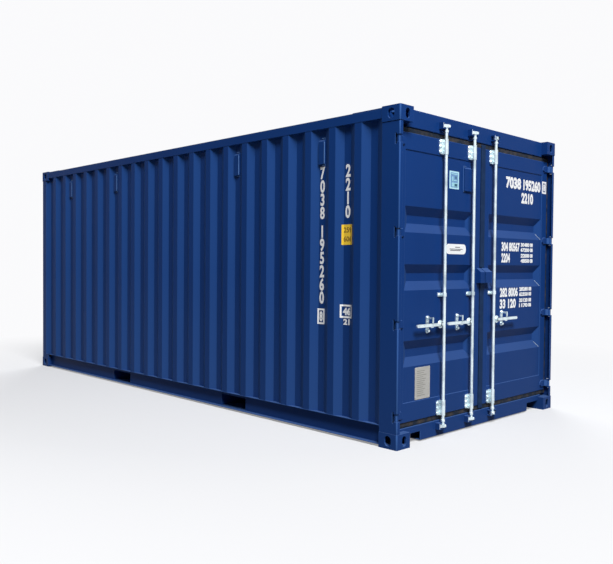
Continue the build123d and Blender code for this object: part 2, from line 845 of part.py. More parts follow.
# Lock gear. Each rod has its place across the doors and the side that its handle points to.
rods = ((-outer_rod, -1), (-inner_rod, -1), (inner_rod, 1))
keeper_opening = cam_height + 2 * keeper_play
with BuildPart() as rod_keepers:
    for rod_x, side in rods:
        for keeper_height in (bottom_keeper_height, top_keeper_height):
            low = keeper_height - keeper_opening / 2 - keeper_plate
            for shelf_bottom in (low, low + keeper_plate + keeper_opening):
                with BuildSketch(Plane.XY.offset(shelf_bottom)):
                    shelf_width = sum(keeper_reach)
                    shelf_depth = door_recess - keeper_front
                    shelf_x = rod_x + side * (keeper_reach[0] - keeper_reach[1]) / 2
                    with Locations((shelf_x, door_face - shelf_depth / 2)):
                        Rectangle(shelf_width, shelf_depth)
                    slot_width = 2 * (rod_radius + keeper_play)
                    slot_depth = rod_from_end + rod_radius + keeper_play - keeper_front
                    with Locations((rod_x, -half_length + keeper_front + slot_depth / 2)):
                        Rectangle(slot_width, slot_depth, mode=Mode.SUBTRACT)
                extrude(amount=keeper_plate)
            with BuildSketch(Plane.XY.offset(low)):
                post_x = rod_x + side * (keeper_reach[0] - keeper_plate / 2)
                with Locations((post_x, door_face - shelf_depth / 2)):
                    Rectangle(keeper_plate, shelf_depth)
            extrude(amount=keeper_opening + 2 * keeper_plate)
rod_keepers.part.label = "rod_keepers"
export_step(rod_keepers.part, "parts/rod_keepers.step")


def rod_guides(door_rods):
    # A bolted plate with a long sleeve near each end of a rod, and a short sleeve at mid height
    plate_width, plate_height, plate_thickness = guide_plate
    with BuildPart() as guides:
        for rod_x, side in door_rods:
            for guide_height in (leaf_bottom + guide_from_edge, leaf_top - guide_from_edge):
                with BuildSketch(Plane.XZ.offset(-door_face)):
                    with Locations((rod_x - plate_width / 2, guide_height)):
                        Rectangle(plate_width, plate_height)
                        chamfer(vertices().group_by(Axis.X)[0], guide_plate_corner)
                extrude(amount=plate_thickness)
                sleeve_height = plate_height + guide_overrun
                with BuildSketch(Plane.XY.offset(guide_height - sleeve_height / 2)):
                    with Locations((rod_x, rod_y)):
                        Circle(guide_radius)
                    with Locations((rod_x, (rod_y + door_face) / 2)):
                        Rectangle(2 * guide_radius, door_face - rod_y)
                extrude(amount=sleeve_height)
            with BuildSketch(Plane.XY.offset(middle_guide_height - middle_guide_sleeve / 2)):
                with Locations((rod_x, rod_y)):
                    Circle(guide_radius)
                with Locations((rod_x, (rod_y + panel_face) / 2)):
                    Rectangle(2 * guide_radius, panel_face - rod_y)
                with Locations((rod_x - middle_guide_width / 2, panel_face - plate_thickness / 2)):
                    Rectangle(middle_guide_width, plate_thickness)
            extrude(amount=middle_guide_sleeve)
            with BuildSketch(Plane.XY.offset(leaf_bottom - guide_overrun)):
                with Locations((rod_x, rod_y)):
                    Circle(rod_radius + guide_play)
            extrude(amount=leaf_height + 2 * guide_overrun, mode=Mode.SUBTRACT)
    return guides.part


with BuildPart() as left_rod_guides:
    add(rod_guides(rods[:2]))
left_rod_guides.part.label = "left_rod_guides"
export_step(left_rod_guides.part, "parts/left_rod_guides.step")

with BuildPart() as right_rod_guides:
    add(rod_guides(rods[2:]))
right_rod_guides.part.label = "right_rod_guides"
export_step(right_rod_guides.part, "parts/right_rod_guides.step")

rod_bottom = bottom_keeper_height - cam_height / 2
rod_top = top_keeper_height + cam_height / 2
handle_front = -half_length + handle_from_end
handle_back = handle_front + handle_bar[1]
hub_face = handle_back + hub_gap
catch_front = handle_front - catch_gap - catch_plate
catch_pivot_z = handle_height + catch_pivot_height

for number, (rod_x, side) in enumerate(rods, start=1):
    hub_x = rod_x + side * hub_offset
    # The rod is a long bar with a cam at each end and a hub plate that carries the handle's pivot
    with BuildPart() as rod:
        with BuildSketch(Plane.XY.offset(rod_bottom)):
            with Locations((rod_x, rod_y)):
                Circle(rod_radius)
        extrude(amount=rod_top - rod_bottom)
        for cam_bottom in (rod_bottom, rod_top - cam_height):
            with BuildSketch(Plane.XY.offset(cam_bottom)):
                with Locations((rod_x, rod_y)):
                    Circle(cam_radius)
                with Locations((rod_x + side * (cam_wing - cam_tip_radius), rod_y)):
                    Circle(cam_tip_radius)
                make_hull()
            extrude(amount=cam_height)
        with BuildSketch(Plane.XZ.offset(-hub_face)):
            with Locations((hub_x, handle_height)):
                Circle(hub_radius)
            with Locations(((rod_x + hub_x) / 2, handle_height)):
                Rectangle(hub_offset, 2 * hub_radius)
        extrude(amount=-hub_plate)
        with BuildSketch(Plane.XZ.offset(-hub_face)):
            with Locations((hub_x, handle_height)):
                Circle(pivot_radius)
        extrude(amount=hub_face - handle_front + bolt_head + bolt_end)
        with BuildSketch(Plane.XZ.offset(-handle_front + bolt_end)):
            with Locations((hub_x, handle_height)):
                RegularPolygon(pivot_radius + bolt_flange, 6)
        extrude(amount=bolt_head)
    rod.part.label = f"lock_rod_{number}"
    export_step(rod.part, f"parts/lock_rod_{number}.step")

    # The handle is a flat bar with an eye at the pivot, a narrower neck and a rounded tip
    with BuildPart() as handle:
        with BuildSketch(Plane.XZ.offset(-handle_back)):
            bar_end = handle_length - handle_bar[0] / 2
            neck_width, neck_end = handle_neck
            with BuildLine():
                Polyline(
                    (hub_x, handle_height - neck_width / 2),
                    (hub_x + side * neck_end / 2, handle_height - neck_width / 2),
                    (hub_x + side * neck_end, handle_height - handle_bar[0] / 2),
                    (hub_x + side * bar_end, handle_height - handle_bar[0] / 2),
                    (hub_x + side * bar_end, handle_height + handle_bar[0] / 2),
                    (hub_x + side * neck_end, handle_height + handle_bar[0] / 2),
                    (hub_x + side * neck_end / 2, handle_height + neck_width / 2),
                    (hub_x, handle_height + neck_width / 2),
                    close=True,
                )
            make_face()
            with Locations((hub_x + side * bar_end, handle_height)):
                Circle(handle_bar[0] / 2)
            with Locations((hub_x, handle_height)):
                Circle(handle_eye_radius)
                Circle(pivot_radius + pivot_play, mode=Mode.SUBTRACT)
        extrude(amount=handle_bar[1])
    handle.part.label = f"handle_{number}"
    export_step(handle.part, f"parts/handle_{number}.step")

    # The catch hangs from the retainer's upper bolt and ends just above the bar
    with BuildPart() as catch:
        with BuildSketch(Plane.XZ.offset(-catch_front - catch_plate)):
            with Locations((rod_x + side * retainer_offset, catch_pivot_z)):
                with Locations((0, -catch_length / 2)):
                    Rectangle(catch_width, catch_length + catch_width)
                    chamfer(vertices(), catch_corner)
                Circle(catch_hole, mode=Mode.SUBTRACT)
        extrude(amount=catch_plate)
    catch.part.label = f"catch_{number}"
    export_step(catch.part, f"parts/catch_{number}.step")


def handle_retainers(numbers):
    # A bolted plate with a shelf under the bar and a stud over it that the catch turns on
    with BuildPart() as retainers:
        for number in numbers:
            rod_x, side = rods[number - 1]
            place = rod_x + side * retainer_offset
            low = handle_height - retainer_below
            high = catch_pivot_z + retainer_width / 2
            with BuildSketch(Plane.XZ.offset(-panel_face)):
                with Locations((place, (low + high) / 2)):
                    Rectangle(retainer_width, high - low)
                    chamfer(vertices(), retainer_corner)
            extrude(amount=retainer_plate)
            shelf_top = handle_height - handle_bar[0] / 2 - retainer_play
            with BuildSketch(Plane.XY.offset(shelf_top - retainer_shelf)):
                with Locations((place, (panel_face + handle_front) / 2)):
                    Rectangle(retainer_width, panel_face - handle_front)
            extrude(amount=retainer_shelf)
            with BuildSketch(Plane.XZ.offset(-panel_face)):
                with Locations((place, catch_pivot_z)):
                    Circle(stud_radius)
            extrude(amount=panel_face - catch_front - catch_plate - catch_end_play)
            with BuildSketch(Plane.XZ.offset(-panel_face)):
                with Locations((place, catch_pivot_z)):
                    Circle(catch_hole - pivot_play)
            extrude(amount=panel_face - catch_front + bolt_end)
            with BuildSketch(Plane.XZ.offset(-panel_face)):
                with Locations((place, low + retainer_width / 2)):
                    RegularPolygon(stud_radius + bolt_end, 6)
            extrude(amount=2 * retainer_plate)
    return retainers.part


with BuildPart() as left_handle_retainers:
    add(handle_retainers((1, 2)))
left_handle_retainers.part.label = "left_handle_retainers"
export_step(left_handle_retainers.part, "parts/left_handle_retainers.step")

with BuildPart() as right_handle_retainer:
    add(handle_retainers((3,)))
right_handle_retainer.part.label = "right_handle_retainer"
export_step(right_handle_retainer.part, "parts/right_handle_retainer.step")

# Roof corner plates: flat plates beside the top castings
with BuildPart() as roof_corner_plates:
    with BuildSketch(Plane.XY.offset(top_rail_top + roof_sheet)):
        plate_y = half_length - casting_length - corner_plate[1] / 2
        plate_x = half_width - post_inset - corner_plate[0] / 2
        with GridLocations(2 * plate_x, 2 * plate_y, 2, 2):
            Rectangle(*corner_plate)
    extrude(amount=corner_plate_thickness)
roof_corner_plates.part.label = "roof_corner_plates"
export_step(roof_corner_plates.part, "parts/roof_corner_plates.step")
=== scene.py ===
import json
import math
import random

import bmesh
import bpy
from mathutils import Matrix, Vector


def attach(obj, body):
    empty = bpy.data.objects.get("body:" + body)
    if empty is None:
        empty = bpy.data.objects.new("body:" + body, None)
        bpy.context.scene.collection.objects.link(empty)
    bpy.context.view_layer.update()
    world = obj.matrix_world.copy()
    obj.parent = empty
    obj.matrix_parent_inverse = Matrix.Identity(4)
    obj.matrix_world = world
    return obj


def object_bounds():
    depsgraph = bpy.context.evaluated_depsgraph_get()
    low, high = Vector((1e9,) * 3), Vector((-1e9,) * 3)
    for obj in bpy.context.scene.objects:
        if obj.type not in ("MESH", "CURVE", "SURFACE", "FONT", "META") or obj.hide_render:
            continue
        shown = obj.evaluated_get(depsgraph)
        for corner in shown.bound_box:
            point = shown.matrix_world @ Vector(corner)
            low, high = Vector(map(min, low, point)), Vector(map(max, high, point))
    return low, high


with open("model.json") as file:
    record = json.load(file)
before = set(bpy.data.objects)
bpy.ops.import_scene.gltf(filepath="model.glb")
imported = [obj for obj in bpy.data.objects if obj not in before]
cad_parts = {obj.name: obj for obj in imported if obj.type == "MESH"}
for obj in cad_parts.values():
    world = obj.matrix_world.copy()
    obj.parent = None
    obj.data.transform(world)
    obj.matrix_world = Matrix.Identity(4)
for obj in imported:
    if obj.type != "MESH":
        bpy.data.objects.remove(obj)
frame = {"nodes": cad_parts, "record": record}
cad_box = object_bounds()
random.seed(7)

# The scene is in metres, and the small pieces are drawn in millimetres
MM = 0.001

# Outer faces of the container, in millimetres, read from the frame
low_corner = cad_box[0]
door_end = low_corner.y / MM
left_side = low_corner.x / MM

# Colours, as linear light
blue_light = (0.0080, 0.0440, 0.1960)
blue_deep = (0.0062, 0.0380, 0.1760)
# Lighter blue for worn edges, painted highlights, painted sheen and the beads' painted highlight
blue_wear_and_sheen = (0.0420, 0.1150, 0.3300)
lit_edge = (0.1000, 0.2200, 0.5000)
# Painted highlight along the edges of keepers and folds
pale_highlight = (0.4600, 0.5600, 0.7000)
# Pale blue for dust and painted light on faces that look up
dust_and_sheen = (0.2600, 0.4000, 0.6200)
zinc_light = (0.84, 0.96, 1.00)
zinc_dark = (0.42, 0.52, 0.57)
rubber_dark = (0.014, 0.022, 0.038)
rubber_worn = (0.070, 0.060, 0.056)
lip_dark = (0.008, 0.025, 0.078)
lip_worn = (0.014, 0.038, 0.100)
marking_white = (0.970, 0.985, 1.000)
sticker_yellow = (0.98, 0.66, 0.05)
sticker_rim = (0.50, 0.82, 0.95)
sticker_slate = (0.16, 0.32, 0.58)
sticker_pale = (0.34, 0.66, 0.78)
sticker_teal = (0.02, 0.10, 0.16)
# Dark ink of print, also painted shade round the handle bolts
ink_and_shade_dark = (0.030, 0.035, 0.045)
ink_worn = (0.250, 0.250, 0.225)
ink_faded = (0.260, 0.140, 0.010)
plate_metal = (0.54, 0.53, 0.50)
wood_light = (0.36, 0.21, 0.10)
wood_dark = (0.19, 0.10, 0.05)
backdrop_white = (0.960, 0.960, 0.975)
floor_grey = (0.68, 0.69, 0.71)
floor_dim = (0.16, 0.16, 0.16)


# Shader nodes

# The colour sockets of a Mix node, which has a set of sockets for each kind of data
mix_first, mix_second, mix_result = 6, 7, 2


def add_node(tree, kind, **settings):
    made = tree.nodes.new("ShaderNode" + kind)
    for name, value in settings.items():
        setattr(made, name, value)
    return made


def feed(tree, value, socket):
    # Sets a number or a colour on a socket, or links an output to it
    if isinstance(value, (float, int)):
        socket.default_value = value
    elif isinstance(value, tuple):
        socket.default_value = (*value, 1)
    else:
        tree.links.new(value, socket)


def new_material(name):
    material = bpy.data.materials.new(name)
    material.use_nodes = True
    tree = material.node_tree
    return material, tree, tree.nodes["Principled BSDF"]


def object_place(tree):
    return add_node(tree, "TexCoord").outputs["Object"]


def mapped_place(tree, **settings):
    mapping = add_node(tree, "Mapping")
    for name, value in settings.items():
        mapping.inputs[name].default_value = value
    feed(tree, object_place(tree), mapping.inputs["Vector"])
    return mapping.outputs["Vector"]


def noise(tree, scale, detail, stretch=(1.0, 1.0, 1.0)):
    texture = add_node(tree, "TexNoise")
    texture.inputs["Scale"].default_value = scale
    texture.inputs["Detail"].default_value = detail
    feed(tree, mapped_place(tree, Scale=stretch), texture.inputs["Vector"])
    return texture.outputs["Fac"]


def ramp(tree, source, low, high, first, second):
    # The first colour where the source is low, and the second where it is high
    blend = add_node(tree, "ValToRGB")
    for stop, place, colour in zip(blend.color_ramp.elements, (low, high), (first, second)):
        stop.position = place
        stop.color = (*colour, 1)
    feed(tree, source, blend.inputs["Fac"])
    return blend.outputs["Color"]


def mix(tree, factor, first, second, blend_type="MIX"):
    blend = add_node(tree, "Mix", data_type="RGBA", blend_type=blend_type)
    feed(tree, factor, blend.inputs["Factor"])
    feed(tree, first, blend.inputs[mix_first])
    feed(tree, second, blend.inputs[mix_second])
    return blend.outputs[mix_result]


def spread(tree, source, low, high, start=0.0, end=1.0):
    # Lays the source's range from start to end out between low and high
    spreader = add_node(tree, "MapRange")
    for name, value in (("From Min", start), ("From Max", end), ("To Min", low), ("To Max", high)):
        spreader.inputs[name].default_value = value
    feed(tree, source, spreader.inputs["Value"])
    return spreader.outputs["Result"]


def calculate(tree, operation, *values):
    step = add_node(tree, "Math", operation=operation)
    for socket, value in zip(step.inputs, values):
        feed(tree, value, socket)
    return step.outputs["Value"]


def component(tree, vector, axis):
    parts = add_node(tree, "SeparateXYZ")
    feed(tree, vector, parts.inputs["Vector"])
    return parts.outputs[axis]


def bump(tree, shader, *layers):
    # Each layer is a texture's value with its strength and its depth in metres
    normal = None
    for value, strength, depth in layers:
        layer = add_node(tree, "Bump")
        layer.inputs["Strength"].default_value = strength
        layer.inputs["Distance"].default_value = depth
        feed(tree, value, layer.inputs["Height"])
        if normal is not None:
            feed(tree, normal, layer.inputs["Normal"])
        normal = layer.outputs["Normal"]
    feed(tree, normal, shader.inputs["Normal"])


def edge_mask(tree, radius):
    # Near 1 within the radius of an edge, where a rounded normal leaves the true one
    rounded = add_node(tree, "Bevel", samples=4)
    rounded.inputs["Radius"].default_value = radius
    likeness = add_node(tree, "VectorMath", operation="DOT_PRODUCT")
    feed(tree, rounded.outputs["Normal"], likeness.inputs[0])
    feed(tree, add_node(tree, "NewGeometry").outputs["Normal"], likeness.inputs[1])
    return spread(tree, likeness.outputs["Value"], 0.0, 1.0, start=0.995, end=0.90)


def painted_sheen_mask(tree):
    # 1 where an upright face turns between the side and the end, as on a round corner or a slope of a
    # side's trough; there the paint is lighter as a painted sheen
    normal = add_node(tree, "NewGeometry").outputs["Normal"]
    product = calculate(tree, "MULTIPLY", component(tree, normal, "X"), component(tree, normal, "Y"))
    return spread(tree, calculate(tree, "ABSOLUTE", product), 0.0, 1.0, start=0.22, end=0.42)


def dust_and_sheen_mask(tree):
    # Paler paint on faces that look up, for dust and painted light from above, and a little paler near the
    # ground
    geometry = add_node(tree, "NewGeometry")
    facing_up = component(tree, geometry.outputs["Normal"], "Z")
    height = component(tree, geometry.outputs["Position"], "Z")
    on_top = spread(tree, facing_up, 0.0, 0.12, start=0.15, end=0.80)
    near_ground = spread(tree, height, 0.0, 0.025, start=1.30, end=0.20)
    return calculate(tree, "ADD", on_top, near_ground)


# Materials

def container_paint(name, wave_depth, painted_sheen_share):
    # Blue paint with worn edges that also serve as painted highlights, a painted sheen on faces that turn
    # between side and end, dust and painted light on faces that look up, a wavy sheet below it and a fine
    # grain
    material, tree, shader = new_material(name)
    broad = noise(tree, scale=0.9, detail=4.0, stretch=(1.0, 0.6, 0.35))
    colour = ramp(tree, broad, 0.35, 0.65, blue_deep, blue_light)
    chips = noise(tree, scale=26.0, detail=6.0)
    # Worn edges, in a lighter blue that also paints a highlight along the edges
    wear_and_highlight = calculate(tree, "MULTIPLY", edge_mask(tree, 4 * MM), spread(tree, chips, 0.1, 0.8))
    colour = mix(tree, wear_and_highlight, colour, blue_wear_and_sheen)
    # Painted sheen: lighter blue on faces that turn between the side and the end
    colour = mix(tree, spread(tree, painted_sheen_mask(tree), 0.0, painted_sheen_share), colour, blue_wear_and_sheen)
    # Dust and painted light from above, and paler near the ground
    colour = mix(tree, dust_and_sheen_mask(tree), colour, dust_and_sheen)
    feed(tree, colour, shader.inputs["Base Color"])
    cloud = noise(tree, scale=7.0, detail=5.0)
    feed(tree, spread(tree, cloud, 0.30, 0.46), shader.inputs["Roughness"])
    shader.inputs["Specular IOR Level"].default_value = 0.03
    wave = noise(tree, scale=2.2, detail=1.0)
    grain = noise(tree, scale=420.0, detail=2.0)
    bump(tree, shader, (wave, 0.5, wave_depth), (grain, 0.12, 0.6 * MM))
    return material


def zinc_steel(name):
    # Galvanised steel: crystals of zinc, and duller stains over them
    material, tree, shader = new_material(name)
    crystals = add_node(tree, "TexVoronoi", feature="F1")
    crystals.inputs["Scale"].default_value = 95.0
    feed(tree, object_place(tree), crystals.inputs["Vector"])
    grey = add_node(tree, "RGBToBW")
    feed(tree, crystals.outputs["Color"], grey.inputs["Color"])
    crystal = grey.outputs["Val"]
    stain = noise(tree, scale=15.0, detail=6.0, stretch=(1.0, 1.0, 0.6))
    colour = mix(tree, spread(tree, crystal, 0.0, 0.30), zinc_light, zinc_dark)
    colour = mix(tree, spread(tree, stain, 0.0, 0.75, start=0.47, end=0.64), colour, zinc_dark)
    feed(tree, colour, shader.inputs["Base Color"])
    feed(tree, spread(tree, crystal, 0.28, 0.44), shader.inputs["Roughness"])
    shader.inputs["Metallic"].default_value = 0.75
    runs = noise(tree, scale=60.0, detail=3.0, stretch=(1.0, 1.0, 0.5))
    bump(tree, shader, (runs, 0.25, 0.8 * MM))
    return material


def seal_rubber(name, dark, worn):
    material, tree, shader = new_material(name)
    scuff = noise(tree, scale=18.0, detail=6.0)
    feed(tree, ramp(tree, scuff, 0.40, 0.72, dark, worn), shader.inputs["Base Color"])
    feed(tree, spread(tree, scuff, 0.50, 0.75), shader.inputs["Roughness"])
    shader.inputs["Specular IOR Level"].default_value = 0.06
    grain = noise(tree, scale=700.0, detail=2.0)
    bump(tree, shader, (grain, 0.2, 0.4 * MM))
    return material


def floor_wood(name):
    # Boards that run along the container, with dark joints between them
    material, tree, shader = new_material(name)
    grain = noise(tree, scale=14.0, detail=8.0, stretch=(6.0, 0.5, 6.0))
    boards = add_node(tree, "TexBrick", offset=0.5)
    quarter_turn = (0, 0, math.radians(90))
    feed(tree, mapped_place(tree, Rotation=quarter_turn), boards.inputs["Vector"])
    for socket, value in (
        ("Scale", 1.0), ("Mortar Size", 0.004), ("Brick Width", 2.4), ("Row Height", 0.57),
        ("Color1", (1, 1, 1)), ("Color2", (0.86, 0.86, 0.86)), ("Mortar", (0.1, 0.1, 0.1)),
    ):
        feed(tree, value, boards.inputs[socket])
    colour = ramp(tree, grain, 0.36, 0.66, wood_dark, wood_light)
    colour = mix(tree, 1.0, colour, boards.outputs["Color"], "MULTIPLY")
    feed(tree, colour, shader.inputs["Base Color"])
    feed(tree, spread(tree, grain, 0.45, 0.65), shader.inputs["Roughness"])
    bump(tree, shader, (grain, 0.2, 0.6 * MM))
    return material


def print_and_painted_light(name, colour):
    # Paint or vinyl of a marking, a little uneven so that it doesn't look cut out; the same material makes
    # the painted highlights and the painted shade
    material, tree, shader = new_material(name)
    fade = noise(tree, scale=22.0, detail=6.0)
    faded = tuple(0.92 * c for c in colour)
    feed(tree, ramp(tree, fade, 0.30, 0.62, faded, colour), shader.inputs["Base Color"])
    feed(tree, spread(tree, fade, 0.37, 0.57), shader.inputs["Roughness"])
    shader.inputs["Specular IOR Level"].default_value = 0.3
    grain = noise(tree, scale=500.0, detail=2.0)
    bump(tree, shader, (grain, 0.1, 0.3 * MM))
    return material


def stamped_metal(name):
    material, tree, shader = new_material(name)
    brushing = noise(tree, scale=90.0, detail=4.0, stretch=(0.1, 1.0, 8.0))
    dark = tuple(0.7 * c for c in plate_metal)
    feed(tree, ramp(tree, brushing, 0.3, 0.7, dark, plate_metal), shader.inputs["Base Color"])
    feed(tree, spread(tree, brushing, 0.35, 0.55), shader.inputs["Roughness"])
    shader.inputs["Metallic"].default_value = 0.6
    bump(tree, shader, (brushing, 0.2, 0.4 * MM))
    return material


frame_paint = container_paint("frame_paint", wave_depth=0.4 * MM, painted_sheen_share=0.8)
sheet_paint = container_paint("sheet_paint", wave_depth=1.6 * MM, painted_sheen_share=0.28)
zinc = zinc_steel("zinc")
rubber = seal_rubber("rubber", rubber_dark, rubber_worn)
lip_rubber = seal_rubber("lip_rubber", lip_dark, lip_worn)
wood = floor_wood("wood")
white_paint = print_and_painted_light("white_paint", marking_white)
yellow_vinyl = print_and_painted_light("yellow_vinyl", sticker_yellow)
rim_vinyl = print_and_painted_light("rim_vinyl", sticker_rim)
slate_vinyl = print_and_painted_light("slate_vinyl", sticker_slate)
pale_vinyl = print_and_painted_light("pale_vinyl", sticker_pale)
teal_vinyl = print_and_painted_light("teal_vinyl", sticker_teal)
bead_highlight = print_and_painted_light("bead_highlight", blue_wear_and_sheen)
vent_bead_highlight = print_and_painted_light("vent_bead_highlight", lit_edge)
pale_highlight_paint = print_and_painted_light("pale_highlight_paint", pale_highlight)
dark_ink_and_shade = print_and_painted_light("dark_ink_and_shade", ink_and_shade_dark)
worn_ink = print_and_painted_light("worn_ink", ink_worn)
faded_ink = print_and_painted_light("faded_ink", ink_faded)
plate_steel = stamped_metal("plate_steel")

# The carried-over pieces keep their meshes and get these materials
sheet_nodes = (
    "left_side_wall", "right_side_wall", "front_wall", "roof_panel", "left_door_panel", "right_door_panel",
)
slot_materials = {"blue_paint": frame_paint, "zinc_steel": zinc, "door_rubber": rubber, "floor_wood": wood}
slots = {row["node"]: row["material_slot"] for row in frame["record"]["subparts"]}
for node, piece in frame["nodes"].items():
    material = sheet_paint if node in sheet_nodes else slot_materials[slots[node]]
    piece.data.materials.clear()
    piece.data.materials.append(material)

# Worn-off edges of the thick pieces, by radius in millimetres
edge_radii = {
    "top_corner_castings": 6, "bottom_corner_castings": 6,
    "rear_corner_posts": 2.5, "front_corner_posts": 1.5,
    "top_side_rails": 4, "bottom_side_rails": 1.5,
    "front_header": 1.5, "front_sill": 1.5, "door_header": 5, "door_sill": 4,
    "left_door_frame": 4, "right_door_frame": 4,
}
for node, radius in edge_radii.items():
    piece = frame["nodes"][node]
    weld = piece.modifiers.new("weld", "WELD")
    weld.merge_threshold = 0.05 * MM
    bevel = piece.modifiers.new("edges", "BEVEL")
    bevel.width = radius * MM
    bevel.segments = 2
    bevel.limit_method = "ANGLE"
    bevel.angle_limit = math.radians(40)


# Small pieces, drawn flat in their own plane in millimetres and then set on a face

def on_face(place, across, up):
    across, up = Vector(across), Vector(up)
    out = across.cross(up)
    return Matrix.Translation(place) @ Matrix((across, up, out)).transposed().to_4x4()


def facing_doors(face):
    # A plane across the container, seen from the door end: its places are across and up
    return on_face((0, face, 0), (1, 0, 0), (0, 0, 1))


def finish_piece(name, mesh_data, matrix, material, body):
    mesh = bpy.data.meshes.new(name)
    mesh_data.to_mesh(mesh)
    mesh_data.free()
    mesh.transform(Matrix.Scale(MM, 4) @ matrix)
    mesh.materials.append(material)
    piece = bpy.data.objects.new(name, mesh)
    bpy.context.scene.collection.objects.link(piece)
    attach(piece, body)


def skin(mesh_data, rings):
    # Faces between the rings, and one over each end
    for lower, upper in zip(rings, rings[1:]):
        for index in range(len(lower)):
            after = (index + 1) % len(lower)
            mesh_data.faces.new((lower[index], lower[after], upper[after], upper[index]))
    mesh_data.faces.new(rings[-1])
    mesh_data.faces.new(list(reversed(rings[0])))


def rounded_plate(mesh_data, centre, size, corner, thickness, base=0, steps=4):
    # A plate with round corners and a narrow bevel on its front edge
    half = (size[0] / 2 - corner, size[1] / 2 - corner)
    rim = []
    for quarter, (sx, sy) in enumerate(((1, 1), (-1, 1), (-1, -1), (1, -1))):
        for step in range(steps + 1):
            angle = math.radians(90) * (quarter + step / steps)
            rim.append((sx * half[0], sy * half[1], angle))
    edge = min(thickness, corner) / 2
    rings = []
    for height, inset in ((base, 0.0), (base + thickness - edge, 0.0), (base + thickness, edge)):
        rings.append([
            mesh_data.verts.new((
                centre[0] + x + (corner - inset) * math.cos(angle),
                centre[1] + y + (corner - inset) * math.sin(angle),
                height,
            ))
            for x, y, angle in rim
        ])
    skin(mesh_data, rings)


def rounded_frame(mesh_data, centre, size, band, thickness, base=0):
    # Four flat bars round a box
    wide, tall = size
    corner = band * 0.2
    lying, standing = (wide, band), (band, tall - 2 * band)
    for x, y, bar in (
        (0, (tall - band) / 2, lying), (0, (band - tall) / 2, lying),
        ((wide - band) / 2, 0, standing), ((band - wide) / 2, 0, standing),
    ):
        rounded_plate(mesh_data, (centre[0] + x, centre[1] + y), bar, corner, thickness, base, steps=2)


def turned(mesh_data, centre, profile, sides):
    # A round piece from its radii and levels
    skin(mesh_data, [
        [
            mesh_data.verts.new((
                centre[0] + radius * math.cos(math.tau * index / sides),
                centre[1] + radius * math.sin(math.tau * index / sides),
                level,
            ))
            for index in range(sides)
        ]
        for radius, level in profile
    ])


def bolt_head(mesh_data, centre, base, across, height):
    # A hexagon head on a washer, with its top edge cut back
    washer, rim, crown = across * 0.72, across * 0.577, across * 0.46
    levels = (
        (washer, base), (washer, base + 0.2 * height), (rim, base + 0.2 * height),
        (rim, base + 0.85 * height), (crown, base + height),
    )
    turned(mesh_data, centre, levels, 6)


def knob(mesh_data, centre, base, radius, height):
    # A round head that narrows towards its top
    shares = ((1.0, 0.0), (1.0, 0.4), (0.85, 0.75), (0.5, 0.95), (0.2, 1.0))
    turned(mesh_data, centre, [(radius * wide, base + height * high) for wide, high in shares], 16)


def bead(mesh_data, start, end, radius):
    # A slim bar of weld or worn edge between two points, with narrowed ends
    start, end = Vector(start), Vector(end)
    along = (end - start).normalized()
    side = along.orthogonal().normalized()
    across = along.cross(side)
    turns = [math.radians(60) * index for index in range(6)]
    outwards = [math.cos(turn) * side + math.sin(turn) * across for turn in turns]
    skin(mesh_data, [
        [mesh_data.verts.new(place + radius * share * outward) for outward in outwards]
        for place, share in (
            (start, 0.5), (start + along * radius, 1.0), (end - along * radius, 1.0), (end, 0.5),
        )
    ])


def number_mesh(text, stroke):
    curve = bpy.data.curves.new("numbers", "FONT")
    curve.body = text
    curve.offset = stroke
    curve.resolution_u = 4
    holder = bpy.data.objects.new("numbers", curve)
    mesh = bpy.data.meshes.new_from_object(holder)
    bpy.data.objects.remove(holder)
    bpy.data.curves.remove(curve)
    return mesh


def spans(mesh):
    lows = [min(v.co[i] for v in mesh.vertices) for i in (0, 1)]
    highs = [max(v.co[i] for v in mesh.vertices) for i in (0, 1)]
    return lows, highs


paint_film = 0.5


def add_numbers(mesh_data, text, centre, size, stroke, base=0, fitted=None):
    # Plain figures, raised by the thickness of the paint. The fitted text, or the figures
    # themselves, fill the box, so that a narrow figure in a column keeps its own width.
    model = number_mesh(fitted or text, stroke)
    lows, highs = spans(model)
    scale = [size[i] / (highs[i] - lows[i]) for i in (0, 1)]
    bpy.data.meshes.remove(model)
    mesh = number_mesh(text, stroke)
    lows, highs = spans(mesh)
    made = bmesh.new()
    made.from_mesh(mesh)
    for vertex in made.verts:
        for i in (0, 1):
            vertex.co[i] = centre[i] + (vertex.co[i] - (lows[i] + highs[i]) / 2) * scale[i]
        vertex.co.z = base
    raised = bmesh.ops.extrude_face_region(made, geom=made.faces[:])
    for vertex in (item for item in raised["geom"] if isinstance(item, bmesh.types.BMVert)):
        vertex.co.z += paint_film
    for face in made.faces:
        face.smooth = False
    made.to_mesh(mesh)
    made.free()
    mesh_data.from_mesh(mesh)
    bpy.data.meshes.remove(mesh)


def add_boxed_numbers(mesh_data, text, centre, size, box, band, stroke):
    rounded_frame(mesh_data, centre, box, band, paint_film)
    add_numbers(mesh_data, text, centre, size, stroke)


# Troughs of the sides, counted from the blind end: the flat of each, and the slopes beside it
first_trough = 2813
trough_pitch = 278
trough_depth = 36
trough_slope = 68
trough_flat = 70
side_inset = 6
trough_face = left_side + side_inset + trough_depth


def trough_place(number):
    return first_trough - number * trough_pitch


# Markings of the left side, in two of its troughs and read downwards
first_column = trough_place(18)
second_column = trough_place(19)


